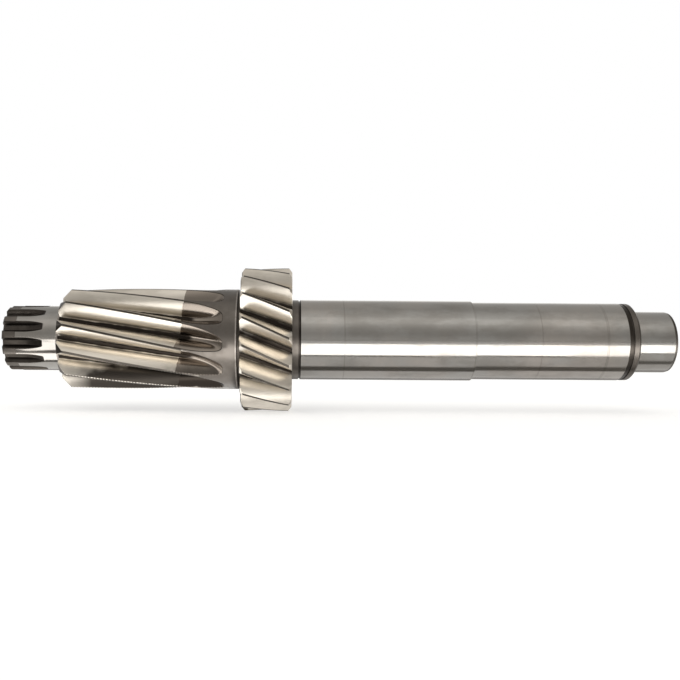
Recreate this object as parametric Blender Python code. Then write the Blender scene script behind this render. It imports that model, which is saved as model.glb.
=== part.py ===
# Intermediate shaft of a heavy gearbox, one steel forging that is turned and hobbed.
# Metres. The shaft's axis is X, with the splined stub at low X and the plain
# journal at high X. The origin is on the axis, midway between the two end faces.

import math

import bmesh
import bpy

# Splined stub
SPLINE_COUNT = 12
SPLINE_DEPTH = 0.0045
SPLINE_PITCH_DIAMETER = 0.0490
SPLINE_SPACE_WIDTH = 0.0058
SPLINE_CORNER_RADIUS = 0.0006
SPLINE_PRESSURE_ANGLE = math.radians(24.0)
SPLINE_CLOCKING = math.radians(5.6)
SPLINE_CUTTER_RADIUS = 0.0330
SPLINE_LENGTH = 0.0333
NOSE_LENGTH = 0.0110
NOSE_RELIEF = 0.0003
STUB_CHAMFER = 0.0015
STUB_LENGTH = 0.0465
STUB_FILLET = 0.0022
STUB_BELOW_PINION_ROOT = 0.0025

# Long pinion and the unground collar that carries its cutter run-outs
PINION_TEETH = 12
PINION_MODULE = 0.00547
PINION_HELIX = math.radians(9.2)
PINION_SHIFT = 0.565
PINION_CORNER_RADIUS = 0.0016
PINION_CHAMFER = 0.0066
PINION_CLOCKING = math.radians(16.4)
PINION_CUTTER_RADIUS = 0.0500
PINION_TOOTH_LENGTH = 0.1012
PINION_COLLAR_END_MARGIN = 0.0112

# Neck between the collar and the gear
NECK_LENGTH = 0.0024
NECK_DEPTH = 0.0016

# Large gear
GEAR_TEETH = 17
GEAR_MODULE = 0.00542
GEAR_HELIX = math.radians(20.7)
GEAR_SHIFT = 0.93
GEAR_CORNER_RADIUS = 0.0018
GEAR_CHAMFER_LENGTH = 0.0026
GEAR_CHAMFER_DEPTH = 0.0034
GEAR_CLOCKING = math.radians(-3.4)
GEAR_WIDTH = 0.0417

# Both sets of teeth
PRESSURE_ANGLE = math.radians(20.0)
ADDENDUM = 1.0
DEDENDUM = 1.25

# Turned and ground lengths behind the gear
FRONT_COLLAR_LENGTH = 0.0053
FRONT_COLLAR_DIAMETER = 0.0664
RELIEF_GROOVE_LENGTH = 0.0014
RELIEF_GROOVE_DEPTH = 0.0008
SEAT_A_LENGTH = 0.1424
SEAT_A_DIAMETER = 0.0667
SEAT_B_LENGTH = 0.1255
SEAT_B_DIAMETER = 0.0645
SEAT_B_CHAMFER_LENGTH = 0.0031
SEAT_B_CHAMFER_DEPTH = 0.0004
REAR_GROOVE_LENGTH = 0.0010
REAR_COLLAR_LENGTH = 0.0056
REAR_COLLAR_DIAMETER = 0.0642
REAR_COLLAR_CHAMFER = 0.0016
JOURNAL_LENGTH = 0.0324
JOURNAL_DIAMETER = 0.0508
JOURNAL_CHAMFER_LENGTH = 0.0022
JOURNAL_CHAMFER_DEPTH = 0.0006

# Fineness of the solid
TURNED_SEGMENTS = 60
WALL_STEPS = 4
LAND_STEPS = 3
RUNOUT_STEPS = 5
FILLET_STEPS = 3
TWIST_STEP = math.radians(4.0)
SWING_STEPS = 24
WALL_SPACING_POWER = 1.7
RUNOUT_SPACING_POWER = 1.8
OVERLAP = 0.0020
LAST_RUNOUT_DEPTH = 0.0001
MERGE_DISTANCE = 1e-6


class ToothGap:
    """One gap of a toothed ring, as a rack-shaped cutter rolls it out of the blank.

    Lengths are in the plane across the shaft. The slope is the tangent of the
    cutter's pressure angle, and the space is the gap's width on the pitch circle.
    """

    def __init__(self, teeth, pitch_radius, floor, slope, space, corner):
        tilt = math.atan(slope)
        self.teeth = teeth
        self.pitch_radius = pitch_radius
        self.floor = floor
        self.slope = slope
        self.corner = corner
        self.flat = space / 2 - (pitch_radius - floor) * slope
        self.round_middle = self.flat + corner * (slope - 1.0 / math.cos(tilt))
        self.round_height = corner * (1.0 - math.sin(tilt))

    def cutter_width(self, height):
        """Half the cutter tooth's width at a height above its rounded tip."""
        if height < self.round_height:
            return self.round_middle + math.sqrt(self.corner ** 2 - (self.corner - height) ** 2)
        return self.flat + height * self.slope

    def half_angle(self, radius, lift):
        """Half the gap's angle at a radius, with the cutter lifted out of the root."""
        low = self.floor + lift
        swing = math.acos(min(1.0, low / radius))
        widest = 0.0
        for step in range(-SWING_STEPS, SWING_STEPS + 1):
            turn = swing * step / SWING_STEPS
            width = self.cutter_width(max(0.0, radius * math.cos(turn) - low))
            widest = max(widest, turn - (radius * math.sin(turn) - width) / self.pitch_radius)
        return widest

    def wall(self, radius, lift, steps):
        """Polar points of one wall, from the floor to where it comes out at a radius."""
        low = self.floor + lift
        radii = [low + (radius - low) * (step / steps) ** WALL_SPACING_POWER
                 for step in range(steps + 1)]
        return [(r, self.half_angle(r, lift)) for r in radii]


class HelicalTeeth:
    """Sizes of a helical gear that follow from its module, teeth, helix and shift."""

    def __init__(self, teeth, module, helix, shift, corner):
        pitch_radius = module * teeth / (2 * math.cos(helix))
        normal_thickness = module * (math.pi / 2 + 2 * shift * math.tan(PRESSURE_ANGLE))
        space = 2 * math.pi * pitch_radius / teeth - normal_thickness / math.cos(helix)
        self.teeth = teeth
        self.tip = pitch_radius + module * (ADDENDUM + shift)
        self.root = pitch_radius - module * (DEDENDUM - shift)
        self.twist = -math.tan(helix) / pitch_radius
        self.gap = ToothGap(teeth, pitch_radius, self.root,
                            math.tan(PRESSURE_ANGLE) / math.cos(helix), space, corner)


def spline_gap(outer_radius):
    """Gap between two splines of the stub."""
    return ToothGap(SPLINE_COUNT, SPLINE_PITCH_DIAMETER / 2, outer_radius - SPLINE_DEPTH,
                    math.tan(SPLINE_PRESSURE_ANGLE), SPLINE_SPACE_WIDTH, SPLINE_CORNER_RADIUS)


def place(bm, x, radius, angle):
    """Vertex at an axial place, a radius, and an angle measured from -Y towards +Z."""
    return bm.verts.new((x, -radius * math.cos(angle), radius * math.sin(angle)))


def toothed_ring(bm, gap, x, radius, gap_angle, lift=0.0, land_steps=1):
    """Outline across the shaft, as one (gap points, land points) pair per tooth."""
    wall = gap.wall(radius, lift, WALL_STEPS)
    pitch = 2 * math.pi / gap.teeth
    edge = wall[-1][1]
    ring = []
    for tooth in range(gap.teeth):
        middle = gap_angle + tooth * pitch
        points = [place(bm, x, r, middle - a) for r, a in reversed(wall)]
        points += [place(bm, x, r, middle + a) for r, a in wall]
        land_step = (pitch - 2 * edge) / land_steps
        land = [place(bm, x, radius, middle + edge + land_step * k) for k in range(1, land_steps)]
        ring.append((points, land))
    return ring


def plain_ring(bm, like, x, radius):
    """Circle whose points stand at the angles of another ring's gap edges and lands."""
    ring = []
    for points, land in like:
        moved = []
        for group in ((points[0], points[-1]), land):
            angles = [math.atan2(v.co.z, -v.co.y) for v in group]
            moved.append([place(bm, x, radius, a) for a in angles])
        ring.append((moved[0], moved[1]))
    return ring


def outline(ring):
    """All vertices of a ring in order."""
    return [v for points, land in ring for v in points + land]


def skin(bm, first, second):
    """Faces between two rings with the same number of teeth."""
    count = len(first)
    for tooth in range(count):
        following = (tooth + 1) % count
        strips = ((first[tooth][0], second[tooth][0]),
                  ([first[tooth][0][-1], *first[tooth][1], first[following][0][0]],
                   [second[tooth][0][-1], *second[tooth][1], second[following][0][0]]))
        for low, high in strips:
            if len(low) == len(high):
                for k in range(len(low) - 1):
                    bm.faces.new((low[k], low[k + 1], high[k + 1], high[k]))
            else:
                bm.faces.new(low + high[::-1])


def close_gaps(bm, ring):
    """End walls of the run-outs, and the ring that is left when they are closed."""
    closed = []
    for points, land in ring:
        bm.faces.new(points)
        closed.append(([points[0], points[-1]], land))
    return closed


def lofted_solid(name, bm, rings):
    """Object from rings that are skinned one to the next and capped at both ends."""
    for first, second in zip(rings, rings[1:]):
        skin(bm, first, second)
    bm.faces.new(outline(rings[0]))
    bm.faces.new(outline(rings[-1]))
    return finish_solid(name, bm)


def finish_solid(name, bm):
    """Triangulated object with its faces pointing out."""
    bmesh.ops.recalc_face_normals(bm, faces=bm.faces[:])
    bmesh.ops.triangulate(bm, faces=bm.faces[:])
    mesh = bpy.data.meshes.new(name)
    bm.to_mesh(mesh)
    bm.free()
    solid = bpy.data.objects.new(name, mesh)
    bpy.context.collection.objects.link(solid)
    return solid


def runout_stations(cutter_radius, depth, steps):
    """Distance along the shaft and lift of the floor, as the cutter's circle leaves the work."""
    last = math.acos(1.0 - (depth - LAST_RUNOUT_DEPTH) / cutter_radius)
    stations = []
    for step in range(1, steps + 1):
        turn = last * (1.0 - (1.0 - step / steps) ** RUNOUT_SPACING_POWER)
        stations.append((cutter_radius * math.sin(turn), cutter_radius * (1.0 - math.cos(turn))))
    return stations


def twisted_rings(bm, teeth, clocking, stations):
    """Rings of full-depth helical teeth at (distance from the left face, x, radius)."""
    half_pitch = math.pi / teeth.teeth
    return [toothed_ring(bm, teeth.gap, x, radius, clocking + half_pitch + teeth.twist * run)
            for run, x, radius in stations]


def even_steps(start, end, count):
    return [start + (end - start) * k / count for k in range(count + 1)]


def make_stub(radius, left_end):
    """Stub with hobbed splines that run out before the ground journal."""
    bm = bmesh.new()
    gap = spline_gap(radius)
    gap_angle = SPLINE_CLOCKING + math.pi / SPLINE_COUNT
    nose = radius - NOSE_RELIEF
    nose_end = left_end + NOSE_LENGTH
    runout = runout_stations(SPLINE_CUTTER_RADIUS, SPLINE_DEPTH, RUNOUT_STEPS)
    runout_start = left_end + SPLINE_LENGTH - runout[-1][0]

    def lift_at(x):
        run = max(0.0, x - runout_start)
        return SPLINE_CUTTER_RADIUS - math.sqrt(SPLINE_CUTTER_RADIUS ** 2 - run ** 2)

    stations = [(left_end, nose - STUB_CHAMFER), (left_end + STUB_CHAMFER, nose),
                (nose_end, nose), (nose_end + NOSE_RELIEF, radius)]
    stations += [(runout_start + run, radius) for run, _ in runout]
    lofted = [toothed_ring(bm, gap, x, outer, gap_angle, lift_at(x), LAND_STEPS)
              for x, outer in sorted(stations)]
    for first, second in zip(lofted, lofted[1:]):
        skin(bm, first, second)
    bm.faces.new(outline(lofted[0]))
    plain = close_gaps(bm, lofted[-1])
    face = left_end + STUB_LENGTH
    sections = [(face - STUB_FILLET, radius)]
    for step in range(1, FILLET_STEPS + 1):
        turn = step * math.pi / (2 * FILLET_STEPS)
        sections.append((face - STUB_FILLET * (1.0 - math.sin(turn)),
                         radius + STUB_FILLET * (1.0 - math.cos(turn))))
    sections.append((face + OVERLAP, radius + STUB_FILLET))
    for x, outer in sections:
        following = plain_ring(bm, plain, x, outer)
        skin(bm, plain, following)
        plain = following
    bm.faces.new(outline(plain))
    return finish_solid("stub", bm)


def make_pinion(teeth, left_face):
    """Long pinion, its cutter run-outs and the plain collar behind them."""
    bm = bmesh.new()
    depth = teeth.tip - teeth.root
    runout = runout_stations(PINION_CUTTER_RADIUS, depth, RUNOUT_STEPS)
    count = math.ceil(abs(teeth.twist) * (PINION_TOOTH_LENGTH - PINION_CHAMFER) / TWIST_STEP)
    runs = even_steps(PINION_CHAMFER, PINION_TOOTH_LENGTH, count)
    stations = [(0.0, left_face, teeth.tip - PINION_CHAMFER)]
    stations += [(run, left_face + run, teeth.tip) for run in runs]
    rings = twisted_rings(bm, teeth, PINION_CLOCKING, stations)
    half_pitch = math.pi / teeth.teeth
    for along, lift in runout:
        run = PINION_TOOTH_LENGTH + along
        angle = PINION_CLOCKING + half_pitch + teeth.twist * run
        rings.append(toothed_ring(bm, teeth.gap, left_face + run, teeth.tip, angle, lift, LAND_STEPS))
    for first, second in zip(rings, rings[1:]):
        skin(bm, first, second)
    bm.faces.new(outline(rings[0]))
    plain = close_gaps(bm, rings[-1])
    collar_end = left_face + PINION_TOOTH_LENGTH + runout[-1][0] + PINION_COLLAR_END_MARGIN
    end = plain_ring(bm, plain, collar_end, teeth.tip)
    skin(bm, plain, end)
    bm.faces.new(outline(end))
    return finish_solid("pinion", bm), collar_end


def make_gear(teeth, left_face):
    """Large helical gear with chamfered tooth ends."""
    bm = bmesh.new()
    full_width = GEAR_WIDTH - 2 * GEAR_CHAMFER_LENGTH
    count = math.ceil(abs(teeth.twist) * full_width / TWIST_STEP)
    edge = teeth.tip - GEAR_CHAMFER_DEPTH
    stations = [(0.0, left_face, edge)]
    stations += [(run, left_face + run, teeth.tip)
                 for run in even_steps(GEAR_CHAMFER_LENGTH, GEAR_WIDTH - GEAR_CHAMFER_LENGTH, count)]
    stations.append((GEAR_WIDTH, left_face + GEAR_WIDTH, edge))
    return lofted_solid("gear", bm, twisted_rings(bm, teeth, GEAR_CLOCKING, stations))


def turned_solid(name, profile):
    """Solid of revolution about X from (x, radius) points that start and end on the axis."""
    bm = bmesh.new()
    verts = [bm.verts.new((x, -radius, 0.0)) for x, radius in profile]
    edges = [bm.edges.new(pair) for pair in zip(verts, verts[1:])]
    bmesh.ops.spin(bm, geom=verts + edges, cent=(0, 0, 0), axis=(1, 0, 0),
                   angle=2 * math.pi, steps=TURNED_SEGMENTS, use_merge=True)
    bmesh.ops.remove_doubles(bm, verts=bm.verts[:], dist=MERGE_DISTANCE)
    return finish_solid(name, bm)


def make_barrel(neck_start, gear_left, pinion_tip):
    """Neck, collars, grooves, the two ground seats and the end journal."""
    neck = pinion_tip - NECK_DEPTH
    front = FRONT_COLLAR_DIAMETER / 2
    seat_a = SEAT_A_DIAMETER / 2
    seat_b = SEAT_B_DIAMETER / 2
    rear = REAR_COLLAR_DIAMETER / 2
    journal = JOURNAL_DIAMETER / 2
    groove_start = gear_left + GEAR_WIDTH + FRONT_COLLAR_LENGTH
    seat_a_start = groove_start + RELIEF_GROOVE_LENGTH
    seat_b_start = seat_a_start + SEAT_A_LENGTH
    rear_groove = seat_b_start + SEAT_B_LENGTH
    rear_collar = rear_groove + REAR_GROOVE_LENGTH
    shoulder = rear_collar + REAR_COLLAR_LENGTH
    end = shoulder + JOURNAL_LENGTH
    profile = [
        (neck_start - OVERLAP, 0.0), (neck_start - OVERLAP, neck),
        (gear_left + OVERLAP, neck), (gear_left + OVERLAP, front),
        (groove_start, front), (groove_start, front - RELIEF_GROOVE_DEPTH),
        (seat_a_start, front - RELIEF_GROOVE_DEPTH), (seat_a_start, seat_a),
        (seat_b_start, seat_a), (seat_b_start, seat_b),
        (rear_groove - SEAT_B_CHAMFER_LENGTH, seat_b),
        (rear_groove, seat_b - SEAT_B_CHAMFER_DEPTH), (rear_groove, rear - RELIEF_GROOVE_DEPTH),
        (rear_collar, rear - RELIEF_GROOVE_DEPTH), (rear_collar, rear),
        (shoulder - REAR_COLLAR_CHAMFER, rear), (shoulder, rear - REAR_COLLAR_CHAMFER),
        (shoulder, journal), (end - JOURNAL_CHAMFER_LENGTH, journal),
        (end, journal - JOURNAL_CHAMFER_DEPTH), (end, 0.0)]
    return turned_solid("intermediate_shaft", profile), end


def steel():
    """Ground alloy steel with a thin film of oil."""
    material = bpy.data.materials.new("ground_steel")
    material.use_nodes = True
    shader = material.node_tree.nodes["Principled BSDF"]
    shader.inputs["Base Color"].default_value = (0.42, 0.40, 0.38, 1.0)
    shader.inputs["Metallic"].default_value = 1.0
    shader.inputs["Roughness"].default_value = 0.28
    return material


def unite(body, parts):
    """Join the worked lengths into the body as one solid, and drop their helpers."""
    for part in parts:
        modifier = body.modifiers.new("join_" + part.name, "BOOLEAN")
        modifier.operation = "UNION"
        modifier.object = part
    evaluated = body.evaluated_get(bpy.context.evaluated_depsgraph_get())
    joined = bpy.data.meshes.new_from_object(evaluated)
    body.modifiers.clear()
    body.data = joined
    for part in parts:
        bpy.data.objects.remove(part, do_unlink=True)


def main():
    for old in list(bpy.data.objects):
        bpy.data.objects.remove(old, do_unlink=True)

    pinion_teeth = HelicalTeeth(PINION_TEETH, PINION_MODULE, PINION_HELIX, PINION_SHIFT,
                                PINION_CORNER_RADIUS)
    gear_teeth = HelicalTeeth(GEAR_TEETH, GEAR_MODULE, GEAR_HELIX, GEAR_SHIFT, GEAR_CORNER_RADIUS)

    # The lengths are laid out from the stub's end face, then moved so that X is 0 midway.
    pinion, collar_end = make_pinion(pinion_teeth, STUB_LENGTH)
    stub = make_stub(pinion_teeth.root - STUB_BELOW_PINION_ROOT, 0.0)
    gear_left = collar_end + NECK_LENGTH
    gear = make_gear(gear_teeth, gear_left)
    shaft, length = make_barrel(collar_end, gear_left, pinion_teeth.tip)

    bpy.context.view_layer.update()
    unite(shaft, [pinion, stub, gear])
    for vertex in shaft.data.vertices:
        vertex.co.x -= length / 2
    shaft.data.shade_smooth()
    shaft.data.set_sharp_from_angle(angle=math.radians(30.0))
    shaft.data.materials.clear()
    shaft.data.materials.append(steel())


main()
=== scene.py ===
import math

import bmesh
import bpy
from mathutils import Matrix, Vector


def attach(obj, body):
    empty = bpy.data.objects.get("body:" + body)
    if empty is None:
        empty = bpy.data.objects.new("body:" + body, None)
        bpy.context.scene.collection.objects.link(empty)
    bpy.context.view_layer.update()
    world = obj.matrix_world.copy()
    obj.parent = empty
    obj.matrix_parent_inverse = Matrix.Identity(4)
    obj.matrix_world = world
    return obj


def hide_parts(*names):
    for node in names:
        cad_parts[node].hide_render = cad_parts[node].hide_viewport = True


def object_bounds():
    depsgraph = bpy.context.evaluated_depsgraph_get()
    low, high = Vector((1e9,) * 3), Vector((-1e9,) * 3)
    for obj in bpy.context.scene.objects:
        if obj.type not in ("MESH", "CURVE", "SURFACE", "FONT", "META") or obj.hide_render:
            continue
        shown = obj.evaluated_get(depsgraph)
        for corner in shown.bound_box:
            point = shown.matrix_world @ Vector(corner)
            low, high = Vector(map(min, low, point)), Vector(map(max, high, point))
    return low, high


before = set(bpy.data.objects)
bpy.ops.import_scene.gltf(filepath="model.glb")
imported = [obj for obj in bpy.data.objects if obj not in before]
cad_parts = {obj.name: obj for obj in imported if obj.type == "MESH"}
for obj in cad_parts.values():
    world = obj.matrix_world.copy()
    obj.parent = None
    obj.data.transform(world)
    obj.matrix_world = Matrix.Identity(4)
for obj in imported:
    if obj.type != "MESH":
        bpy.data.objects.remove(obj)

# Intermediate shaft: splined stub, long pinion, collar, large gear, ground seats, end journal.
# Metres. The shaft's axis is X; angles round it run from -Y, the front, towards +Z.

cadLow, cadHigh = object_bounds()
leftEnd, rightEnd = cadLow.x, cadHigh.x
zones = ["groundSteel", "pinionSteel", "gearSteel", "forgedSteel", "turnedSteel", "darkSteelAndShade"]
ground, pinionTooth, gearTooth, forged, turned, darkAndShade = range(len(zones))
print("frame loaded, length", round(rightEnd - leftEnd, 4))


# Tooth forms, as a rack-shaped cutter rolls them out of the blank

toothForm = {"pressureAngle": math.radians(20.0), "addendum": 1.0, "dedendum": 1.25}
# points on each stretch of a tooth, on a circle, a fillet and a turned corner, and steps of the
# cutter's swing; how points crowd together, and the angle from which an edge stays sharp
fineness = {
    "floor": 2, "wall": 14, "edge": 3, "circle": 216, "swing": 24, "fillet": 5, "corner": 3,
    "wallCrowding": 1.7, "runoutCrowding": 1.8, "sharpAngle": math.radians(38.0)}
# shares of the sides that a rounding may take, and the rings that keep its shading clean
roundings = {
    "sideShare": 0.35, "landShare": 0.3, "support": 0.00012, "supportShare": 0.1,
    "faceRing": 1.8, "arch": 0.29, "sideRing": 1.6}


def rackForm(part, floor, tip, pitchRadius, slope, space):
    # space is half the gap's width on the pitch circle, slope the tangent of the cutter's side
    flat = space - (pitchRadius - floor) * slope
    rounding = part["corner"]
    tilt = math.atan(slope)
    return {**part, "floor": floor, "tip": tip, "pitchRadius": pitchRadius, "slope": slope, "flat": flat,
            "roundEnd": rounding * (1.0 - math.sin(tilt)),
            "roundMiddle": flat + rounding * (slope - 1.0 / math.cos(tilt))}


def helicalForm(part):
    helix, module, count = part["helix"], part["module"], part["teeth"]
    pitchRadius = module * count / (2 * math.cos(helix))
    tangent = math.tan(toothForm["pressureAngle"])
    thickness = module * (math.pi / 2 + 2 * part["shift"] * tangent) / math.cos(helix)
    tip = pitchRadius + module * (toothForm["addendum"] + part["shift"])
    floor = pitchRadius - module * (toothForm["dedendum"] - part["shift"])
    space = math.pi * pitchRadius / count - thickness / 2
    form = rackForm(part, floor, tip, pitchRadius, tangent / math.cos(helix), space)
    form["twist"] = -math.tan(helix) / pitchRadius
    return form


def splineForm(part, outer):
    form = rackForm(part, outer - part["depth"], outer, part["pitchRadius"], math.tan(part["wallAngle"]),
                    part["spaceWidth"] / 2)
    form["twist"] = 0.0
    return form


def rackWidth(form, height):
    # half the cutter tooth's width, at a height above its rounded tip
    if height < form["roundEnd"]:
        rounding = form["corner"]
        return form["roundMiddle"] + math.sqrt(rounding ** 2 - (rounding - height) ** 2)
    return form["flat"] + height * form["slope"]


def gapAngle(form, radius, lift):
    # half the gap's angle at a radius, with the cutter's tip lifted out of the root
    low = form["floor"] + lift
    swing = math.acos(min(1.0, low / radius))
    widest = 0.0
    for k in range(-fineness["swing"], fineness["swing"] + 1):
        turn = swing * k / fineness["swing"]
        width = rackWidth(form, max(0.0, radius * math.cos(turn) - low))
        widest = max(widest, turn - (radius * math.sin(turn) - width) / form["pitchRadius"])
    return widest


def curvePoint(first, corner, last, share):
    # a point on the curve that rounds a corner off, at a share of the way from first to last
    near, middle, far = (1 - share) ** 2, 2 * share * (1 - share), share * share
    return tuple(near * a + middle * b + far * c for a, b, c in zip(first, corner, last))


def insetOutline(polar, inset):
    # the outline moved into the metal, with its two ends kept on their own rays
    flat = [(r * math.cos(a), r * math.sin(a)) for r, a in polar]
    moved = []
    for k, (u, w) in enumerate(flat):
        before, after = flat[max(k - 1, 0)], flat[min(k + 1, len(flat) - 1)]
        du, dw = after[0] - before[0], after[1] - before[1]
        size = math.hypot(du, dw)
        moved.append((u - inset * dw / size, w + inset * du / size))
    middle = [(math.hypot(u, w), math.atan2(w, u)) for u, w in moved[1:-1]]
    return [(moved[0][0], 0.0), *middle, (math.hypot(*moved[-1]), polar[-1][1])]


def halfTooth(form, outer, lift=0.0, inset=0.0):
    # polar points from the middle of a gap to the middle of the next land
    low, halfPitch = form["floor"] + lift, math.pi / form["teeth"]
    edge = min(form["edge"], roundings["sideShare"] * (outer - low))
    floorAngle = gapAngle(form, low, lift)
    polar = [(low, floorAngle * k / fineness["floor"]) for k in range(fineness["floor"])]
    for k in range(fineness["wall"] + 1):
        radius = low + (outer - edge - low) * (k / fineness["wall"]) ** fineness["wallCrowding"]
        polar.append((radius, gapAngle(form, radius, lift)))
    wallEnd, corner = polar[-1], (outer, gapAngle(form, outer, lift))
    landEdge = corner[1] + min(edge / outer, roundings["landShare"] * (halfPitch - corner[1]))
    polar += [curvePoint(wallEnd, corner, (outer, landEdge), k / fineness["edge"])
              for k in range(1, fineness["edge"] + 1)]
    polar += [(outer, landEdge + (halfPitch - landEdge) * k / form["landSteps"])
              for k in range(1, form["landSteps"] + 1)]
    return insetOutline(polar, inset) if inset else polar


# Rings and the skin between them

def place(bm, x, radius, angle):
    return bm.verts.new((x, -radius * math.cos(angle), radius * math.sin(angle)))


def toothRing(bm, form, x, outer, middle, lift=0.0, inset=0.0):
    half = halfTooth(form, outer, lift, inset)
    pitch = 2 * math.pi / form["teeth"]
    ring = []
    for k in range(form["teeth"]):
        centre = middle + k * pitch
        ring += [place(bm, x, r, centre - a) for r, a in reversed(half[1:])]
        ring += [place(bm, x, r, centre + a) for r, a in half[:-1]]
    return ring


def circleRing(bm, x, radius):
    count = fineness["circle"]
    return [place(bm, x, radius, 2 * math.pi * k / count) for k in range(count)]


def toothZones(form, wallZone, restZone):
    # zone of each strip of one tooth, in the order of toothRing
    half = [wallZone] * (fineness["floor"] + fineness["wall"] + fineness["edge"])
    half += [restZone] * form["landSteps"]
    return half[::-1] + half


def loft(bm, first, second, zone):
    count = len(first)
    for k in range(count):
        n = (k + 1) % count
        face = bm.faces.new((first[k], first[n], second[n], second[k]))
        face.material_index = zone[k % len(zone)] if isinstance(zone, list) else zone


def zipRings(bm, first, second, zone):
    # rings with different numbers of points, joined in order of angle
    def turns(ring):
        angles = [math.atan2(v.co.z, -v.co.y) for v in ring]
        for k in range(1, len(angles)):
            angles[k] = angles[k - 1] + math.remainder(angles[k] - angles[k - 1], 2 * math.pi)
        return angles + [angles[0] + 2 * math.pi]

    angles = turns(first)
    other = [math.atan2(v.co.z, -v.co.y) for v in second]
    start = min(range(len(second)), key=lambda k: abs(math.remainder(other[k] - angles[0], 2 * math.pi)))
    second = second[start:] + second[:start]
    others = turns(second)
    slip = math.remainder(others[0] - angles[0], 2 * math.pi) - (others[0] - angles[0])
    others = [a + slip for a in others]
    i = j = 0
    while i < len(first) or j < len(second):
        a, b = first[i % len(first)], second[j % len(second)]
        if j == len(second) or (i < len(first) and angles[i + 1] <= others[j + 1]):
            face = bm.faces.new((a, first[(i + 1) % len(first)], b))
            i += 1
        else:
            face = bm.faces.new((a, second[(j + 1) % len(second)], b))
            j += 1
        face.material_index = zone


def closeGaps(bm, form, ring, zone):
    # small end wall of each gap that has run out, and the ring left without them
    perTooth = len(ring) // form["teeth"]
    land = form["landSteps"]
    left = []
    for k in range(form["teeth"]):
        points = ring[k * perTooth:(k + 1) * perTooth]
        points.append(ring[((k + 1) * perTooth) % len(ring)])
        face = bm.faces.new(points[land:len(points) - land])
        face.material_index = zone
        left += points[:land + 1] + points[len(points) - 1 - land:-1]
    return left


def runout(form, depth):
    # the cutter's circle leaving the work, until lastCut of the depth is left:
    # distance along, and lift of the floor
    radius, steps = form["cutterRadius"], form["runoutSteps"]
    last = math.acos(1.0 - (depth - form["lastCut"]) / radius)
    turns = [last * (1.0 - (1.0 - k / steps) ** fineness["runoutCrowding"]) for k in range(1, steps + 1)]
    return [(radius * math.sin(a), radius * (1.0 - math.cos(a))) for a in turns]


def roundedProfile(corners):
    # (x, radius, rounding, zone after it) corners of a turned profile, each with a small rounding
    stations, turns = [], fineness["corner"]
    for k, (x, r, size, zone) in enumerate(corners):
        if k in (0, len(corners) - 1) or size == 0.0:
            stations.append((x, r, zone))
            continue
        ends = []
        for other in (corners[k - 1], corners[k + 1]):
            dx, dr = other[0] - x, other[1] - r
            length = math.hypot(dx, dr)
            reach = min(size, roundings["sideShare"] * length)
            gap = min(roundings["support"], roundings["supportShare"] * length)
            ends.append([(x + dx * d / length, r + dr * d / length) for d in (reach + gap, reach)])
        (supportBefore, first), (supportAfter, last) = ends
        before = corners[k - 1][3]
        stations.append((*supportBefore, before))
        for n in range(turns + 1):
            stations.append((*curvePoint(first, (x, r), last, n / turns), before if n < turns else zone))
        stations.append((*supportAfter, zone))
    return stations


def loftProfile(bm, ring, stations, zoneBefore):
    zone = zoneBefore
    for x, radius, following in stations:
        new = circleRing(bm, x, radius)
        if len(ring) == len(new):
            loft(bm, ring, new, zone)
        else:
            zipRings(bm, ring, new, zone)
        ring, zone = new, following
    return ring


def endRounding(size):
    # (distance from the face, inset of the whole outline) for broken tooth ends
    arch = size * roundings["arch"]
    return [(0.0, size * roundings["faceRing"]), (0.0, size), (arch, arch), (size, 0.0),
            (size * roundings["sideRing"], 0.0)]


# Long pinion, with gaps that run out into its collar, and the neck beside the gear

pinionSizes = {
    "teeth": 12, "module": 0.00547, "helix": math.radians(9.2), "shift": 0.565, "corner": 0.0016,
    "edge": 0.0003, "landSteps": 5, "clocking": math.radians(16.4), "twistStep": math.radians(1.0),
    "toothLength": 0.1012, "finishedLength": 0.0987, "endRounding": 0.0003,
    "chamfer": 0.0066, "chamferEdge": 0.00018, "chamferBlunt": 0.00005, "firstRing": 0.0002,
    "cutterRadius": 0.0500, "runoutSteps": 20, "lastCut": 0.0001,
    "collarMargin": 0.0112, "collarRing": 0.006, "collarRounding": 0.0014,
    "neckLength": 0.0024, "neckDepth": 0.0016, "neckRounding": 0.0003}
pinionForm = helicalForm(pinionSizes)


def addPinion(bm, ring, face):
    form, tip = pinionForm, pinionForm["tip"]
    chamfer, length, below = form["chamfer"], form["toothLength"], form["chamferEdge"]
    stations = [(d, tip - chamfer + d, inset) for d, inset in endRounding(form["endRounding"])]
    stations += [(chamfer - below, tip - below, 0.0), (chamfer, tip - form["chamferBlunt"], 0.0)]
    steps = math.ceil(abs(form["twist"]) * (length - chamfer) / form["twistStep"])
    first = chamfer + form["firstRing"]
    stations += [(first + (length - first) * k / steps, tip, 0.0) for k in range(steps + 1)]
    stations = [(d, r, 0.0, i) for d, r, i in stations]
    runs = runout(form, tip - form["floor"])
    stations += [(length + run, tip, lift, 0.0) for run, lift in runs]
    start = form["clocking"] + math.pi / form["teeth"]
    rings = [toothRing(bm, form, face + d, r, start + form["twist"] * d, lift, i)
             for d, r, lift, i in stations]
    zipRings(bm, ring, rings[0], forged)
    # the lands of the finished teeth take the dark skin, which paints shade on them
    finished, rough = toothZones(form, pinionTooth, darkAndShade), toothZones(form, pinionTooth, forged)
    for (d, *_), first, second in zip(stations, rings, rings[1:]):
        loft(bm, first, second, finished if d < form["finishedLength"] else rough)
    ring = closeGaps(bm, form, rings[-1], forged)
    end = face + length + runs[-1][0] + form["collarMargin"]
    neck, gearFace = tip - form["neckDepth"], end + form["neckLength"]
    rounding = form["collarRounding"]
    # the neck beside the gear takes the dark skin, which paints shade in it
    corners = [(end - form["collarRing"], tip, 0.0, forged), (end - rounding, tip, 0.0, turned),
               (end, tip, rounding, darkAndShade), (end, neck, form["neckRounding"], darkAndShade),
               (gearFace, neck, 0.0, darkAndShade)]
    return loftProfile(bm, ring, roundedProfile(corners), forged), gearFace


# Larger gear, chamfered at both sides

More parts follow.
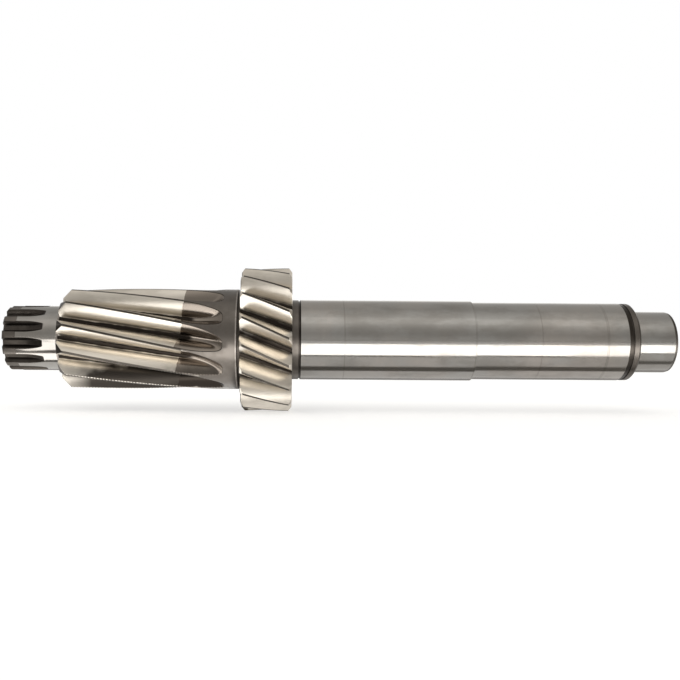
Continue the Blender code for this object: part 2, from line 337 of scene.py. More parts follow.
gearSizes = {
    "teeth": 17, "module": 0.00542, "helix": math.radians(20.7), "shift": 0.93, "corner": 0.0018,
    "edge": 0.00035, "landSteps": 2, "clocking": math.radians(-3.4), "twistStep": math.radians(1.0),
    "width": 0.0417, "endRounding": 0.0003, "chamferLength": 0.0026, "chamferDepth": 0.0034,
    "chamferEdge": 0.0002}
gearForm = helicalForm(gearSizes)


def addGear(bm, ring, face):
    form, tip, width = gearForm, gearForm["tip"], gearForm["width"]
    long, deep, near = form["chamferLength"], form["chamferDepth"], form["chamferEdge"]

    def outerAt(d):
        return tip - deep * max(0.0, 1.0 - min(d, width - d) / long)

    ends = endRounding(form["endRounding"])
    faceEnd = ends[-1][0]
    ends += [(long - near, 0.0), (long + near, 0.0)]
    steps = math.ceil(abs(form["twist"]) * (width - 2 * long) / form["twistStep"])
    full = [(long + near + (width - 2 * (long + near)) * k / steps, 0.0) for k in range(1, steps)]
    stations = ends + full + [(width - d, i) for d, i in reversed(ends)]
    start = form["clocking"] + math.pi / form["teeth"]
    rings = [toothRing(bm, form, face + d, outerAt(d), start + form["twist"] * d, 0.0, i)
             for d, i in stations]
    zipRings(bm, ring, rings[0], forged)
    # the lands and the broken ends take the dark skin, which paints shade on them
    middleZones = toothZones(form, gearTooth, darkAndShade)
    for (d, _), first, second in zip(stations, rings, rings[1:]):
        endZone = darkAndShade if d < faceEnd else gearTooth
        loft(bm, first, second, middleZones if long <= d < width - long else endZone)
    return rings[-1], face + width


# Splined stub: a nose a little smaller than its lands, slots that run out, a fillet to the pinion

stubSizes = {
    "teeth": 12, "depth": 0.0045, "pitchRadius": 0.0245, "spaceWidth": 0.0058, "corner": 0.0006,
    "edge": 0.0002, "wallAngle": math.radians(24.0), "landSteps": 5, "clocking": math.radians(5.6),
    "cutterRadius": 0.0330, "runoutSteps": 18, "lastCut": 0.0001, "slotLength": 0.0333,
    "length": 0.0465, "belowRoot": 0.0025, "chamfer": 0.0015, "chamferEdge": 0.0001,
    "endRounding": 0.00025, "middleShare": 0.4,
    "noseLength": 0.0110, "noseRelief": 0.0003, "noseRings": (0.003, 0.006, 0.009),
    "landStart": 0.0008, "firstRun": 0.001, "plainStart": 0.0015, "plainEnd": 0.006,
    "fillet": 0.0022, "filletEdge": 0.0002}
stubForm = splineForm(stubSizes, pinionForm["floor"] - stubSizes["belowRoot"])


def addStubEnd(bm, ring):
    # the flat end, with one face over its middle
    inner = circleRing(bm, leftEnd, stubForm["floor"] * stubForm["middleShare"])
    zipRings(bm, ring, inner, turned)
    bm.faces.new(inner).material_index = turned


def addStub(bm):
    form, outer = stubForm, stubForm["tip"]
    nose = outer - form["noseRelief"]
    runs = runout(form, form["depth"])
    runStart = form["slotLength"] - runs[-1][0]

    def liftAt(distance):
        run = max(0.0, distance - runStart)
        return form["cutterRadius"] - math.sqrt(form["cutterRadius"] ** 2 - run ** 2)

    chamfer, noseEnd, near = form["chamfer"], form["noseLength"], form["chamferEdge"]
    stations = [(d, nose - chamfer + d, inset) for d, inset in endRounding(form["endRounding"])]
    stations += [(chamfer - near, nose - near, 0.0), (chamfer + near, nose, 0.0)]
    stations += [(d, nose, 0.0) for d in (*form["noseRings"], noseEnd)]
    stations += [(noseEnd + d, outer, 0.0) for d in (form["noseRelief"], form["landStart"])]
    stations = [(d, r, liftAt(d), i) for d, r, i in stations]
    stations += [(runStart + run, outer, lift, 0.0) for run, lift in runs
                 if runStart + run > noseEnd + form["firstRun"]]
    middle = form["clocking"] + math.pi / form["teeth"]
    rings = [toothRing(bm, form, leftEnd + d, r, middle, lift, i) for d, r, lift, i in stations]
    addStubEnd(bm, rings[0])
    # the slots take the dark skin, which paints shade in them
    noseZones, landZones = toothZones(form, darkAndShade, forged), toothZones(form, darkAndShade, ground)
    for (d, *_), first, second in zip(stations, rings, rings[1:]):
        loft(bm, first, second, noseZones if d < noseEnd else landZones)
    ring = closeGaps(bm, form, rings[-1], darkAndShade)
    face, fillet, edge = leftEnd + form["length"], form["fillet"], form["filletEdge"]
    stations = [(leftEnd + form["slotLength"] + form["plainStart"], outer, ground),
                (face - form["plainEnd"], outer, ground),
                (face - fillet - edge, outer, turned), (face - fillet, outer, turned)]
    for k in range(1, fineness["fillet"] + 1):
        a = k / fineness["fillet"] * math.pi / 2
        stations.append((face - fillet * (1 - math.sin(a)), outer + fillet * (1 - math.cos(a)), turned))
    stations.append((face, outer + fillet + edge, forged))
    return loftProfile(bm, ring, stations, ground), face


# Barrel: a pair is length and diameter on collars, seats and the journal,
# and length and depth on grooves and chamfers

barrelSizes = {
    "frontCollar": (0.0053, 0.0664), "reliefGroove": (0.0014, 0.0008), "gearSide": 0.0030,
    "seatA": (0.1424, 0.0667), "seatB": (0.1255, 0.0645), "seatBChamfer": (0.0031, 0.0004),
    "rearGroove": 0.0010, "rearCollar": (0.0056, 0.0642), "rearCollarChamfer": 0.0016,
    "journal": (0.0324, 0.0508), "journalChamfer": (0.0022, 0.0006), "middleShare": 0.4,
    "collarRounding": 0.0008, "seatRounding": 0.0006, "stepRounding": 0.0001,
    "grooveRounding": 0.0004, "rounding": 0.0003, "fineRounding": 0.0002}


def addBarrel(bm, ring, face):
    sizes = barrelSizes
    collar, seatA, seatB = sizes["frontCollar"][1] / 2, sizes["seatA"][1] / 2, sizes["seatB"][1] / 2
    rear, journal = sizes["rearCollar"][1] / 2, sizes["journal"][1] / 2
    grooveStart = face + sizes["frontCollar"][0]
    seatAStart = grooveStart + sizes["reliefGroove"][0]
    seatBStart = seatAStart + sizes["seatA"][0]
    rearGroove = seatBStart + sizes["seatB"][0]
    rearCollar = rearGroove + sizes["rearGroove"]
    shoulder = rearCollar + sizes["rearCollar"][0]
    end = shoulder + sizes["journal"][0]
    depth = sizes["reliefGroove"][1]
    chamferLong, chamferDeep = sizes["seatBChamfer"]
    endLong, endDeep = sizes["journalChamfer"]
    groove, small, fine = sizes["grooveRounding"], sizes["rounding"], sizes["fineRounding"]
    # the relief groove, seat B's chamfer and the rear groove take the dark skin, which paints shade in them
    corners = [
        (face, collar + sizes["gearSide"], 0.0, forged), (face, collar, sizes["collarRounding"], forged),
        (grooveStart, collar, fine, darkAndShade), (grooveStart, collar - depth, small, darkAndShade),
        (seatAStart, collar - depth, small, darkAndShade), (seatAStart, seatA, sizes["seatRounding"], ground),
        (seatBStart, seatA, fine, forged), (seatBStart, seatB, sizes["stepRounding"], ground),
        (rearGroove - chamferLong, seatB, fine, darkAndShade),
        (rearGroove, seatB - chamferDeep, fine, darkAndShade), (rearGroove, rear - depth, groove, darkAndShade),
        (rearCollar, rear - depth, groove, darkAndShade), (rearCollar, rear, fine, forged),
        (shoulder - sizes["rearCollarChamfer"], rear, small, forged),
        (shoulder, rear - sizes["rearCollarChamfer"], small, forged),
        (shoulder, journal, small, ground), (end - endLong, journal, fine, forged),
        (end, journal - endDeep, fine, turned), (end, journal * sizes["middleShare"], 0.0, turned)]
    ring = loftProfile(bm, ring, roundedProfile(corners), forged)
    bm.faces.new(ring).material_index = turned
    print("barrel ends", round(end, 6), "frame ends", round(rightEnd, 6))


# The whole shaft, in one mesh

def buildShaft():
    bm = bmesh.new()
    ring, pinionForm["face"] = addStub(bm)
    ring, gearForm["face"] = addPinion(bm, ring, pinionForm["face"])
    ring, barrelFace = addGear(bm, ring, gearForm["face"])
    addBarrel(bm, ring, barrelFace)
    bmesh.ops.recalc_face_normals(bm, faces=bm.faces[:])
    loose = [e for e in bm.edges if not e.is_manifold]
    mesh = bpy.data.meshes.new("shaftBody")
    bm.to_mesh(mesh)
    bm.free()
    shaft = bpy.data.objects.new("shaftBody", mesh)
    bpy.context.collection.objects.link(shaft)
    mesh.shade_smooth()
    mesh.set_sharp_from_angle(angle=fineness["sharpAngle"])
    print("shaft meshed,", len(mesh.polygons), "faces,", len(loose), "open edges")
    return shaft


shaft = buildShaft()
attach(shaft, "root")
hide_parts("intermediate_shaft")


# Nodes that the effects and the finishes are wired from

def connect(tree, value, socket):
    # an output is linked to the socket, a number or a colour is set on it
    if isinstance(value, bpy.types.NodeSocket):
        tree.links.new(value, socket)
    else:
        socket.default_value = value


def addMath(tree, operation, first, second=None, third=None, clamp=False):
    node = tree.nodes.new("ShaderNodeMath")
    node.operation, node.use_clamp = operation, clamp
    for socket, value in zip(node.inputs, (first, second, third)):
        if value is not None:
            connect(tree, value, socket)
    return node.outputs[0]


def addRise(tree, value, start, run, clamp=True):
    # 0 at the start, 1 after the run
    return addMath(tree, "DIVIDE", addMath(tree, "SUBTRACT", value, start), run, clamp=clamp)


def addSpan(tree, value, low, high, curve="LINEAR"):
    # 0 at the low value, 1 at the high one
    node = tree.nodes.new("ShaderNodeMapRange")
    node.interpolation_type = curve
    for label, source in (("Value", value), ("From Min", low), ("From Max", high)):
        connect(tree, source, node.inputs[label])
    return node.outputs["Result"]


def splitVector(tree, vector):
    node = tree.nodes.new("ShaderNodeSeparateXYZ")
    connect(tree, vector, node.inputs[0])
    return node.outputs


def joinVector(tree, *parts):
    node = tree.nodes.new("ShaderNodeCombineXYZ")
    for socket, part in zip(node.inputs, parts):
        connect(tree, part, socket)
    return node.outputs[0]


def addNoise(tree, vector, scale, detail=3.0, roughness=0.55):
    node = tree.nodes.new("ShaderNodeTexNoise")
    for label, value in (("Vector", vector), ("Scale", scale), ("Detail", detail), ("Roughness", roughness)):
        connect(tree, value, node.inputs[label])
    return node.outputs[0]


def mixColour(tree, share, first, second):
    node = tree.nodes.new("ShaderNodeMix")
    node.data_type = "RGBA"
    connect(tree, share, node.inputs["Factor"])
    for socket, value in ((node.inputs[6], first), (node.inputs[7], second)):
        connect(tree, (*value, 1.0) if isinstance(value, tuple) else value, socket)
    return node.outputs[2]


def angleRound(tree, y, z):
    return addMath(tree, "ARCTAN2", z, addMath(tree, "MULTIPLY", y, -1.0))


def shaftPlace(tree):
    # place on the shaft: the point, its X, the angle round the axis in radians, and the radius
    where = tree.nodes.new("ShaderNodeTexCoord").outputs["Object"]
    x, y, z = splitVector(tree, where)
    radius = addMath(tree, "SQRT", addMath(tree, "ADD", addMath(tree, "MULTIPLY", y, y),
                                           addMath(tree, "MULTIPLY", z, z)))
    return where, x, angleRound(tree, y, z), radius


def untwist(tree, x, angle, twist):
    # the angle that stays the same along a tooth
    return addMath(tree, "SUBTRACT", angle, addMath(tree, "MULTIPLY", x, twist))


def pointOnRing(tree, along, angle, radius):
    return joinVector(tree, along, addMath(tree, "MULTIPLY", addMath(tree, "COSINE", angle), radius),
                      addMath(tree, "MULTIPLY", addMath(tree, "SINE", angle), radius))


# Shared effects

def newGroup(name, inputs, outputs):
    group = bpy.data.node_groups.new(name, "ShaderNodeTree")
    for label, value in inputs.items():
        socket = group.interface.new_socket(name=label, in_out="INPUT", socket_type="NodeSocketFloat")
        socket.default_value = value
    for label in outputs:
        group.interface.new_socket(name=label, in_out="OUTPUT", socket_type="NodeSocketFloat")
    return group, group.nodes.new("NodeGroupInput").outputs, group.nodes.new("NodeGroupOutput").inputs


def makeGrindingLines():
    # fine rings round the shaft, each a little broken along its way; on an end face, one inside another
    group, given, result = newGroup("grindingLines", {"Scale": 2200.0, "Break": 0.004}, ["Lines"])
    _, x, angle, radius = shaftPlace(group)
    vector = pointOnRing(group, addMath(group, "ADD", x, radius), angle, given["Break"])
    lines = addNoise(group, vector, given["Scale"], detail=4.0, roughness=0.7)
    connect(group, lines, result["Lines"])
    return group


def makeOilSmudge():
    # soft uneven patches, stretched along the shaft or round it
    group, given, result = newGroup("oilSmudge", {"Size": 28.0, "Along": 0.6, "Low": 0.45, "High": 0.75},
                                    ["Patches"])
    x, y, z = splitVector(group, group.nodes.new("ShaderNodeTexCoord").outputs["Object"])
    vector = joinVector(group, addMath(group, "MULTIPLY", x, given["Along"]), y, z)
    noise = addNoise(group, vector, given["Size"], detail=5.0, roughness=0.6)
    connect(group, addSpan(group, noise, given["Low"], given["High"], "SMOOTHSTEP"), result["Patches"])
    return group


def makeToothMarks():
    # fine marks that the finishing cut left along the teeth, and that follow their twist
    group, given, result = newGroup("toothMarks", {"Twist": 0.0, "Stretch": 0.03, "Scale": 900.0}, ["Marks"])
    _, x, angle, radius = shaftPlace(group)
    along = addMath(group, "MULTIPLY", x, given["Stretch"])
    vector = pointOnRing(group, along, untwist(group, x, angle, given["Twist"]), radius)
    connect(group, addNoise(group, vector, given["Scale"], roughness=0.6), result["Marks"])
    return group


def makeRootStainAndShade():
    # 1 in the roots of the teeth, which the finishing cut doesn't reach, 0 on the flanks; it darkens them
    # for their own unground skin and for painted shade in the tooth gaps
    group, given, result = newGroup("rootStainAndShade", {"Radius": 0.031, "Fade": 0.0015, "Wave": 0.0012,
                                                  "Grain": 90.0}, ["Stained"])
    where, _, _, radius = shaftPlace(group)
    wave = addMath(group, "MULTIPLY", addNoise(group, where, given["Grain"], detail=2.0), given["Wave"])
    top = addMath(group, "ADD", given["Radius"], wave)
    connect(group, addRise(group, top, radius, given["Fade"]), result["Stained"])
    return group


def makeCutterEdge():
    # 0 where the teeth are finished, 1 past the slanted, ragged line where the finishing cut stopped
    group, given, result = newGroup("cutterEdge", {"Place": 0.0, "Slant": 0.006, "Ragged": 0.0015,
                                                   "Grain": 420.0, "Width": 0.0006, "Twist": 0.0,
                                                   "Start": 0.0, "Pitch": 0.5}, ["Past"])
    where, x, angle, _ = shaftPlace(group)
    straight = untwist(group, x, angle, given["Twist"])
    turns = addRise(group, straight, given["Start"], given["Pitch"], clamp=False)
    across = addMath(group, "SUBTRACT", addMath(group, "FRACT", turns), 0.5)
    noise = addMath(group, "SUBTRACT", addNoise(group, where, given["Grain"], detail=4.0), 0.5)
    line = addMath(group, "MULTIPLY_ADD", across, given["Slant"], given["Place"])
    line = addMath(group, "MULTIPLY_ADD", noise, given["Ragged"], line)
    connect(group, addRise(group, x, line, given["Width"]), result["Past"])
    return group


def makeUnderside():
    # 1 on the underside, below a wavy angle round the axis, where the teeth get painted shade
    group, given, result = newGroup("underside", {"Angle": -0.8, "Fade": 0.25, "Wave": 0.3, "Grain": 60.0,
                                                  "Start": 0.0, "Run": 0.04}, ["Oiled"])
    where, x, angle, _ = shaftPlace(group)
    noise = addMath(group, "SUBTRACT", addNoise(group, where, given["Grain"]), 0.5)
    top = addMath(group, "ADD", given["Angle"], addMath(group, "MULTIPLY", noise, given["Wave"]))
    low = addRise(group, top, angle, given["Fade"])
    along = addRise(group, x, given["Start"], given["Run"])
    connect(group, addMath(group, "MULTIPLY", low, along), result["Oiled"])
    return group


def makeTipEdgeShading():
    # the tooth tips' edges, which get a painted line of shade, and short stretches on them, one for each
    # step of the finishing cut, which get a painted highlight
    group, given, result = newGroup("tipEdgeShadeAndHighlight", {"Radius": 0.04, "Width": 0.00008, "Step": 0.0024,
                                                  "Grain": 700.0, "Share": 1.05}, ["Edge", "Bright"])
    where, x, _, radius = shaftPlace(group)
    edge = addRise(group, radius, given["Radius"], given["Width"])
    wave = addMath(group, "FRACT", addMath(group, "DIVIDE", x, given["Step"]))
    ragged = addMath(group, "ADD", wave, addNoise(group, where, given["Grain"], detail=2.0))
    bright = addMath(group, "LESS_THAN", ragged, given["Share"])
    connect(group, edge, result["Edge"])
    connect(group, addMath(group, "MULTIPLY", edge, bright), result["Bright"])
    return group


def makeEdgeWearAndHighlight():
    # 1 on the sharp convex corners, up to a place along the shaft: rubbed wear there, and a painted
    # highlight along the edges
    group, given, result = newGroup("edgeWearAndHighlight", {"Low": 0.52, "High": 0.60, "End": 1.0}, ["Worn"])
    x = shaftPlace(group)[1]
    corner = group.nodes.new("ShaderNodeNewGeometry").outputs["Pointiness"]
    wornAndHighlit = addSpan(group, corner, given["Low"], given["High"])
    inside = addMath(group, "LESS_THAN", x, given["End"])
    connect(group, addMath(group, "MULTIPLY", wornAndHighlit, inside), result["Worn"])
    return group


def makeRunMark():
    # a thin ring at one place along the shaft, such as a grinding wheel's edge leaves
    group, given, result = newGroup("runMark", {"Place": 0.0, "Width": 0.0008}, ["Ring"])
    far = addMath(group, "ABSOLUTE", addMath(group, "SUBTRACT", shaftPlace(group)[1], given["Place"]))
    near = addMath(group, "SUBTRACT", 1.0, addMath(group, "DIVIDE", far, given["Width"]), clamp=True)
    connect(group, near, result["Ring"])
    return group


effects = {
    "lines": makeGrindingLines(), "smudge": makeOilSmudge(), "marks": makeToothMarks(),
    "root": makeRootStainAndShade(), "cutter": makeCutterEdge(), "underside": makeUnderside(),
    "tipEdgeLight": makeTipEdgeShading(), "wearAndHighlight": makeEdgeWearAndHighlight(), "ring": makeRunMark()}
print("shared effects made:", ", ".join(effects))


# Finishes

def newMaterial(name, metallic=1.0):
    material = bpy.data.materials.new(name)
    material.use_nodes = True
    tree = material.node_tree
    shader = tree.nodes["Principled BSDF"]
    shader.inputs["Metallic"].default_value = metallic
    return material, tree, shader


def useEffect(tree, name, **values):
    # the effect's output, or all of them where it has more
    node = tree.nodes.new("ShaderNodeGroup")
    node.node_tree = effects[name]
    for label, value in values.items():
        node.inputs[label].default_value = value
    return node.outputs[0] if len(node.outputs) == 1 else tuple(node.outputs)


def addBump(tree, shader, height, distance, strength):
    bump = tree.nodes.new("ShaderNodeBump")
    bump.inputs["Strength"].default_value = strength
    bump.inputs["Distance"].default_value = distance
    tree.links.new(height, bump.inputs["Height"])
    tree.links.new(bump.outputs["Normal"], shader.inputs["Normal"])


# ground seats, lands and journal: clean and cooler patches under a thin smudge, with a few rings
groundLook = {
    "clean": (0.425, 0.392, 0.357), "cool": (0.378, 0.368, 0.347), "smudged": (0.215, 0.196, 0.172),
    "wornAndHighlit": (0.56, 0.53, 0.49), "wearAndHighlight": {"Low": 0.53, "High": 0.62},
    "lines": {"Scale": 2400.0, "Break": 0.006}, "lineHeight": 0.000004, "lineStrength": 0.2,
    "bands": {"Scale": 70.0, "Break": 0.010}, "bandShare": 0.8,
    "patches": {"Size": 42.0, "Along": 0.45, "Low": 0.42, "High": 0.64}, "smudgeShare": 0.384,
    "tints": {"Size": 14.0, "Along": 0.8, "Low": 0.40, "High": 0.62},
    "ringPlaces": (0.0035, 0.1092, 0.1627, 0.2150, 0.2162), "ringWidth": 0.0007, "ringShare": 0.34,
    "roughness": 0.10, "smudgeRoughness": 0.08, "lineRoughness": 0.05}


def makeGroundSteel():
    look = groundLook
    material, tree, shader = newMaterial("groundSteel")
    lines = useEffect(tree, "lines", **look["lines"])
    bands = useEffect(tree, "lines", **look["bands"])
    patches = useEffect(tree, "smudge", **look["patches"])
    tints = useEffect(tree, "smudge", **look["tints"])
    share = addMath(tree, "MULTIPLY_ADD", bands, look["bandShare"], patches)
    share = addMath(tree, "MULTIPLY", share, look["smudgeShare"])
    for place in look["ringPlaces"]:
        ring = useEffect(tree, "ring", Place=place, Width=look["ringWidth"])
        share = addMath(tree, "MULTIPLY_ADD", ring, look["ringShare"], share, clamp=True)
    colour = mixColour(tree, tints, look["clean"], look["cool"])
    colour = mixColour(tree, share, colour, look["smudged"])
    # lighter sharp corners: rubbed wear with a painted highlight
    colour = mixColour(tree, useEffect(tree, "wearAndHighlight", **look["wearAndHighlight"]), colour, look["wornAndHighlit"])
    connect(tree, colour, shader.inputs["Base Color"])
    rough = addMath(tree, "MULTIPLY_ADD", patches, look["smudgeRoughness"], look["roughness"])
    rough = addMath(tree, "MULTIPLY_ADD", lines, look["lineRoughness"], rough)
    connect(tree, rough, shader.inputs["Roughness"])
    addBump(tree, shader, lines, look["lineHeight"], look["lineStrength"])
    return material


# both sets of teeth; a boundary or an underside-shade start of 1 m lies past the shaft's end, so there is
# none
# root is the near-black of the unground roots; it is also the colour of the painted shade on the underside
# and along the tip edges
toothLook = {
    "clean": (0.74, 0.685, 0.60), "shaded": (0.50, 0.455, 0.39), "root": (0.020, 0.016, 0.013),
    "unfinished": (0.24, 0.207, 0.175), "wornAndHighlit": (0.50, 0.45, 0.39), "wearAndHighlight": {"Low": 0.54, "High": 0.64},
    "marks": {"Stretch": 0.03, "Scale": 700.0}, "markShare": 0.5, "markHeight": 0.000006,
    "markStrength": 0.10, "patches": {"Size": 70.0, "Along": 0.3, "Low": 0.42, "High": 0.70},
    "patchShare": 0.55, "cutter": {"Ragged": 0.0016, "Width": 0.0005}, "edgeDepth": 0.0004,
    "feedStep": 0.0024, "edgeShadeShare": 0.85, "roughness": 0.34, "unfinishedRoughness": 0.20}
pinionLook = {
    "boundary": -0.1300, "slant": 0.0065, "rootRadius": 0.0298, "rootFade": 0.0006,
    "undersideShadeShare": 0.97, "undersideShadeAngle": math.radians(-34.0), "undersideShadeStart": -0.2450}
gearLook = {
    "boundary": 1.0, "slant": 0.0, "rootRadius": 0.0489, "rootFade": 0.0018,
    "undersideShadeShare": 0.0, "undersideShadeAngle": math.radians(-37.0), "undersideShadeStart": 1.0}


def makeToothSteel(name, look, form):
    both = toothLook
    material, tree, shader = newMaterial(name)
    marks = useEffect(tree, "marks", Twist=form["twist"], **both["marks"])
    patches = useEffect(tree, "smudge", **both["patches"])
    shade = addMath(tree, "MULTIPLY", patches, both["patchShare"])
    shade = addMath(tree, "MULTIPLY_ADD", marks, both["markShare"], shade, clamp=True)
    past = useEffect(tree, "cutter", Place=look["boundary"], Slant=look["slant"], Twist=form["twist"],
                     Start=form["clocking"] - form["twist"] * form["face"],
                     Pitch=2 * math.pi / form["teeth"], **both["cutter"])
    # darker roots: their own unground skin, deepened with painted shade of the tooth gaps
    stained = useEffect(tree, "root", Radius=look["rootRadius"], Fade=look["rootFade"])
    colour = mixColour(tree, shade, both["clean"], both["shaded"])
    colour = mixColour(tree, past, colour, both["unfinished"])
    colour = mixColour(tree, stained, colour, both["root"])
    # painted shade on the underside and along the edges of the tips; on the underside it is left off in
    # short stretches, one for each step of the cut, as a painted highlight
    undersideShade = useEffect(tree, "underside", Angle=look["undersideShadeAngle"], Start=look["undersideShadeStart"])
    edge, bright = useEffect(tree, "tipEdgeLight", Radius=form["tip"] - both["edgeDepth"], Step=both["feedStep"])
    darkness = addMath(tree, "MAXIMUM", addMath(tree, "MULTIPLY", undersideShade, look["undersideShadeShare"]),
                       addMath(tree, "MULTIPLY", edge, both["edgeShadeShare"]))
    shadeKept = addMath(tree, "SUBTRACT", 1.0, addMath(tree, "MULTIPLY", bright, undersideShade))
    colour = mixColour(tree, addMath(tree, "MULTIPLY", darkness, shadeKept), colour, both["root"])
    # lighter sharp corners past the finishing cut: rubbed wear with a painted highlight
    wornAndHighlit = addMath(tree, "MULTIPLY", useEffect(tree, "wearAndHighlight", **both["wearAndHighlight"]), past)
    connect(tree, mixColour(tree, wornAndHighlit, colour, both["wornAndHighlit"]), shader.inputs["Base Color"])
    change = both["unfinishedRoughness"] - both["roughness"]
    connect(tree, addMath(tree, "MULTIPLY_ADD", past, change, both["roughness"]), shader.inputs["Roughness"])
    addBump(tree, shader, marks, both["markHeight"], both["markStrength"])
    return material


# skins that aren't ground: forged or rough, turned, and dark; the dark one also carries painted shade in the
# slots, grooves and neck and on the tooth lands and gear ends
# up to here the lighter corners are rubbed wear with a painted highlight
highlightAndWearLength = 0.1613  # from the stub's end to part way along the pinion's run-outs, where their wear stops
skinLook = {
    "patches": {"Size": 90.0, "Along": 0.8, "Low": 0.36, "High": 0.68}, "patchShare": 0.7,
    "lineBreak": 0.010, "lineShare": 0.5, "lineHeight": 0.00001,
    "wearAndHighlight": {"Low": 0.54, "High": 0.64, "End": leftEnd + highlightAndWearLength},
    "patchRoughness": 0.08, "lineRoughness": 0.06}
forgedLook = {
    "clean": (0.155, 0.138, 0.121), "stained": (0.118, 0.104, 0.090), "wornAndHighlit": (0.50, 0.45, 0.39),
    "metallic": 1.0, "roughness": 0.27, "lineScale": 1100.0, "lineStrength": 0.3}
turnedLook = {
    "clean": (0.40, 0.363, 0.325), "stained": (0.20, 0.180, 0.158), "wornAndHighlit": (0.33, 0.300, 0.267),
    "metallic": 0.8, "roughness": 0.38, "lineScale": 1600.0, "lineStrength": 0.3}
darkAndShadeLook = {
    "clean": (0.070, 0.061, 0.052), "stained": (0.040, 0.034, 0.029), "wornAndHighlit": (0.16, 0.14, 0.12),
    "metallic": 1.0, "roughness": 0.26, "lineScale": 900.0, "lineStrength": 0.15}


def makeSkinSteel(name, look):
    every = skinLook
    material, tree, shader = newMaterial(name, look["metallic"])
    patches = useEffect(tree, "smudge", **every["patches"])
    lines = useEffect(tree, "lines", Scale=look["lineScale"], Break=every["lineBreak"])
    share = addMath(tree, "MULTIPLY", patches, every["patchShare"])
    share = addMath(tree, "MULTIPLY_ADD", lines, every["lineShare"], share, clamp=True)
    colour = mixColour(tree, share, look["clean"], look["stained"])
    # lighter sharp corners: rubbed wear with a painted highlight
    colour = mixColour(tree, useEffect(tree, "wearAndHighlight", **every["wearAndHighlight"]), colour, look["wornAndHighlit"])
    connect(tree, colour, shader.inputs["Base Color"])
    rough = addMath(tree, "MULTIPLY_ADD", patches, every["patchRoughness"], look["roughness"])
    rough = addMath(tree, "MULTIPLY_ADD", lines, every["lineRoughness"], rough)
    connect(tree, rough, shader.inputs["Roughness"])
    addBump(tree, shader, lines, every["lineHeight"], look["lineStrength"])
    return material


finishes = [
    makeGroundSteel(), makeToothSteel("pinionSteel", pinionLook, pinionForm),
    makeToothSteel("gearSteel", gearLook, gearForm), makeSkinSteel("forgedSteel", forgedLook),
    makeSkinSteel("turnedSteel", turnedLook), makeSkinSteel("darkSteelAndShade", darkAndShadeLook)]
for finish in finishes:
    shaft.data.materials.append(finish)
print("finishes on:", ", ".join(zones))


# Studio floor and surroundings

floorLook = {
    "size": 8.0, "colour": (0.80, 0.80, 0.79), "colourInMetal": (0.30, 0.29, 0.275), "roughness": 0.9,
    "shine": 0.1, "lightForCamera": 0.55, "lightForMetal": 0.03}
surroundings = {
    # brightness round the shaft's axis: degrees from the front over the top to the back
    "round": [(0, 0.62), (18, 0.50), (32, 0.62), (44, 0.86), (58, 1.00), (72, 0.88), (88, 0.72),
              (100, 0.58), (132, 0.57), (146, 0.60), (160, 1.00), (176, 1.35)],
    "tint": (1.0, 0.985, 0.96), "ends": (0.5, 0.49, 0.48), "endSharpness": 3.0,
    # a darker part high up at the right: where it starts, and how fast it comes in
    "darkPart": (0.28, 0.26, 0.235), "fromRight": 0.42, "riseRight": 7.0, "fromLevel": 0.15,
    "riseUp": 5.0, "seen": (1.0, 1.0, 1.0)}


def addFloor():
    look, half, z = floorLook, floorLook["size"] / 2, cadLow.z
    mesh = bpy.data.meshes.new("floor")
    mesh.from_pydata([(-half, -half, z), (half, -half, z), (half, half, z), (-half, half, z)], [],
                     [(0, 1, 2, 3)])
    floor = bpy.data.objects.new("floor", mesh)
    bpy.context.collection.objects.link(floor)
    material, tree, shader = newMaterial("paleFloor", metallic=0.0)
    shader.inputs["Roughness"].default_value = look["roughness"]
    shader.inputs["Specular IOR Level"].default_value = look["shine"]
    path = tree.nodes.new("ShaderNodeLightPath").outputs
    colour = mixColour(tree, path["Is Glossy Ray"], look["colour"], look["colourInMetal"])
    connect(tree, colour, shader.inputs["Base Color"])
    shader.inputs["Emission Color"].default_value = (1.0, 1.0, 1.0, 1.0)
    metal = addMath(tree, "ADD", path["Is Glossy Ray"], path["Is Transmission Ray"], clamp=True)
    light = addMath(tree, "MULTIPLY", path["Is Camera Ray"], look["lightForCamera"])
    light = addMath(tree, "MULTIPLY_ADD", metal, look["lightForMetal"], light)
    connect(tree, light, shader.inputs["Emission Strength"])
    mesh.materials.append(material)


def addWorld():
    look = surroundings
    world = bpy.data.worlds.new("studio")
    bpy.context.scene.world = world
    world.use_nodes = True
    tree = world.node_tree
    background = tree.nodes["Background"]
    x, y, z = splitVector(tree, tree.nodes.new("ShaderNodeTexCoord").outputs["Generated"])
    ramp = tree.nodes.new("ShaderNodeValToRGB")
    connect(tree, addMath(tree, "DIVIDE", angleRound(tree, y, z), math.pi, clamp=True), ramp.inputs[0])
    while len(ramp.color_ramp.elements) < len(look["round"]):
        ramp.color_ramp.elements.new(0.5)
    for element, (degrees, value) in zip(ramp.color_ramp.elements, look["round"]):
        element.position = degrees / 180.0
        element.color = (*[value * share for share in look["tint"]], 1.0)
    side = addMath(tree, "POWER", addMath(tree, "ABSOLUTE", x), look["endSharpness"])
    plain = mixColour(tree, side, ramp.outputs["Color"], look["ends"])
    right = addMath(tree, "SUBTRACT", x, look["fromRight"])
    right = addMath(tree, "MULTIPLY", right, look["riseRight"], clamp=True)
    above = addMath(tree, "SUBTRACT", z, look["fromLevel"])
    above = addMath(tree, "MULTIPLY", above, look["riseUp"], clamp=True)
    plain = mixColour(tree, addMath(tree, "MULTIPLY", right, above), plain, look["darkPart"])
    cameraRay = tree.nodes.new("ShaderNodeLightPath").outputs["Is Camera Ray"]
    connect(tree, mixColour(tree, cameraRay, plain, look["seen"]), background.inputs["Color"])
    background.inputs["Strength"].default_value = 1.0


# Soft panels: place, size and brightness seen in the metal. They shine up unless they have a pitch

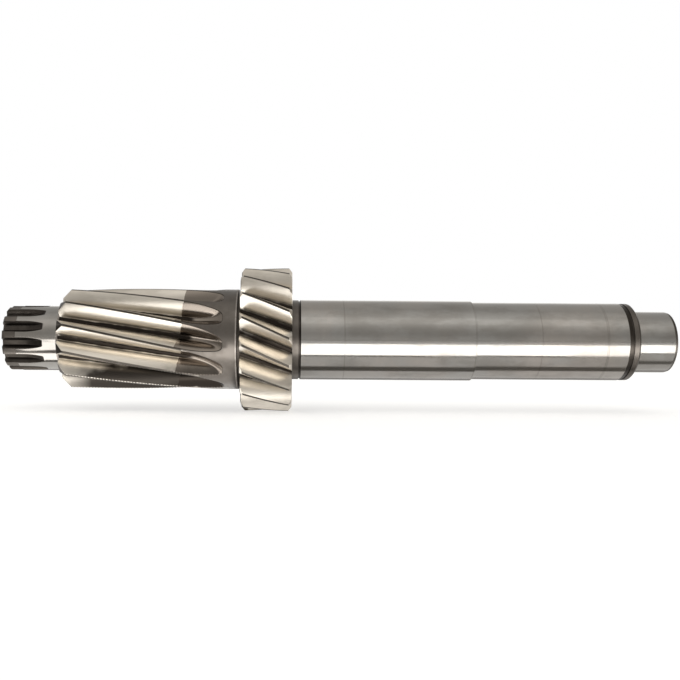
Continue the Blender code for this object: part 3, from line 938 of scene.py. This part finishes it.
panels = {
    "overhead": {"place": (-0.10, -0.75, 1.15), "size": (1.8, 0.50), "bright": 0.15, "pitch": 33.0},
    "frontPanel": {"place": (0.20, -0.2005, -0.0590), "size": (0.66, 0.239), "bright": 3.6},
    "farPanel": {"place": (0.50, -0.98, -0.0590), "size": (2.2, 1.24), "bright": 0.60},
    "nearCard": {"place": (0.23, -0.0515, -0.0592), "size": (0.61, 0.041), "bright": 0.62},
    "collarCard": {"place": (-0.103, -0.0640, -0.0592), "size": (0.054, 0.028), "bright": 1.5},
    "pinionNear": {"place": (-0.184, -0.0825, -0.0592), "size": (0.106, 0.063), "bright": 3.2},
    "flankPanel": {"place": (-0.300, -0.345, -0.0592), "size": (0.070, 0.520), "bright": 2.7, "turn": -27.0},
    "gearUnder": {"place": (-0.058, -0.0210, -0.0592), "size": (0.044, 0.020), "bright": 0.85},
    "pinionUnder": {"place": (-0.1575, -0.0060, -0.0592), "size": (0.139, 0.088), "bright": 1.45},
    "stubPanel": {"place": (-0.300, -0.190, -0.0590), "size": (0.060, 0.240), "bright": 2.6, "turn": -25.0},
    "stubCard": {"place": (-0.283, -0.040, -0.0591), "size": (0.110, 0.031), "bright": 2.8},
    "stubUnder": {"place": (-0.283, 0.0125, -0.0592), "size": (0.110, 0.055), "bright": 0.9},
    "rearCard": {"place": (0.23, 0.006, -0.0592), "size": (0.61, 0.044), "bright": 0.68},
    "farCard": {"place": (0.00, 0.160, -0.0592), "size": (1.10, 0.260), "bright": 0.22}}


def addPanel(name, look):
    width, depth = look["size"]
    light = bpy.data.lights.new(name, "AREA")
    light.shape = "RECTANGLE"
    light.size, light.size_y = width, depth
    light.energy = look["bright"] * math.pi * width * depth
    lamp = bpy.data.objects.new(name, light)
    bpy.context.collection.objects.link(lamp)
    lamp.location = look["place"]
    pitch, turn = look.get("pitch", 180.0), look.get("turn", 0.0)
    lamp.rotation_euler = (math.radians(pitch), 0.0, math.radians(turn))
    lamp.visible_camera = False


addFloor()
addWorld()
for panelName, panel in panels.items():
    addPanel(panelName, panel)
print("studio lit")


# Camera, looking level and square at the shaft; the picture is turned so that the axis drops
# towards the right, by its fall for each unit along

cameraFit = {
    "place": (-0.0430, -0.6863, -0.0003), "focal": 815.0, "frame": 680.0, "centreX": 287.0,
    "fall": 0.00703, "sensor": 36.0, "clip": (0.01, 50.0)}
cameraData = bpy.data.cameras.new("photoCamera")
cameraData.sensor_width = cameraFit["sensor"]
cameraData.lens = cameraFit["sensor"] * cameraFit["focal"] / cameraFit["frame"]
cameraData.shift_x = (cameraFit["frame"] / 2 - cameraFit["centreX"]) / cameraFit["frame"]
cameraData.clip_start, cameraData.clip_end = cameraFit["clip"]
camera = bpy.data.objects.new("photoCamera", cameraData)
bpy.context.collection.objects.link(camera)
camera.location = cameraFit["place"]
camera.rotation_euler = (math.radians(90.0), -math.atan(cameraFit["fall"]), 0.0)
bpy.context.scene.camera = camera
bpy.context.scene.view_settings.view_transform = "Standard"
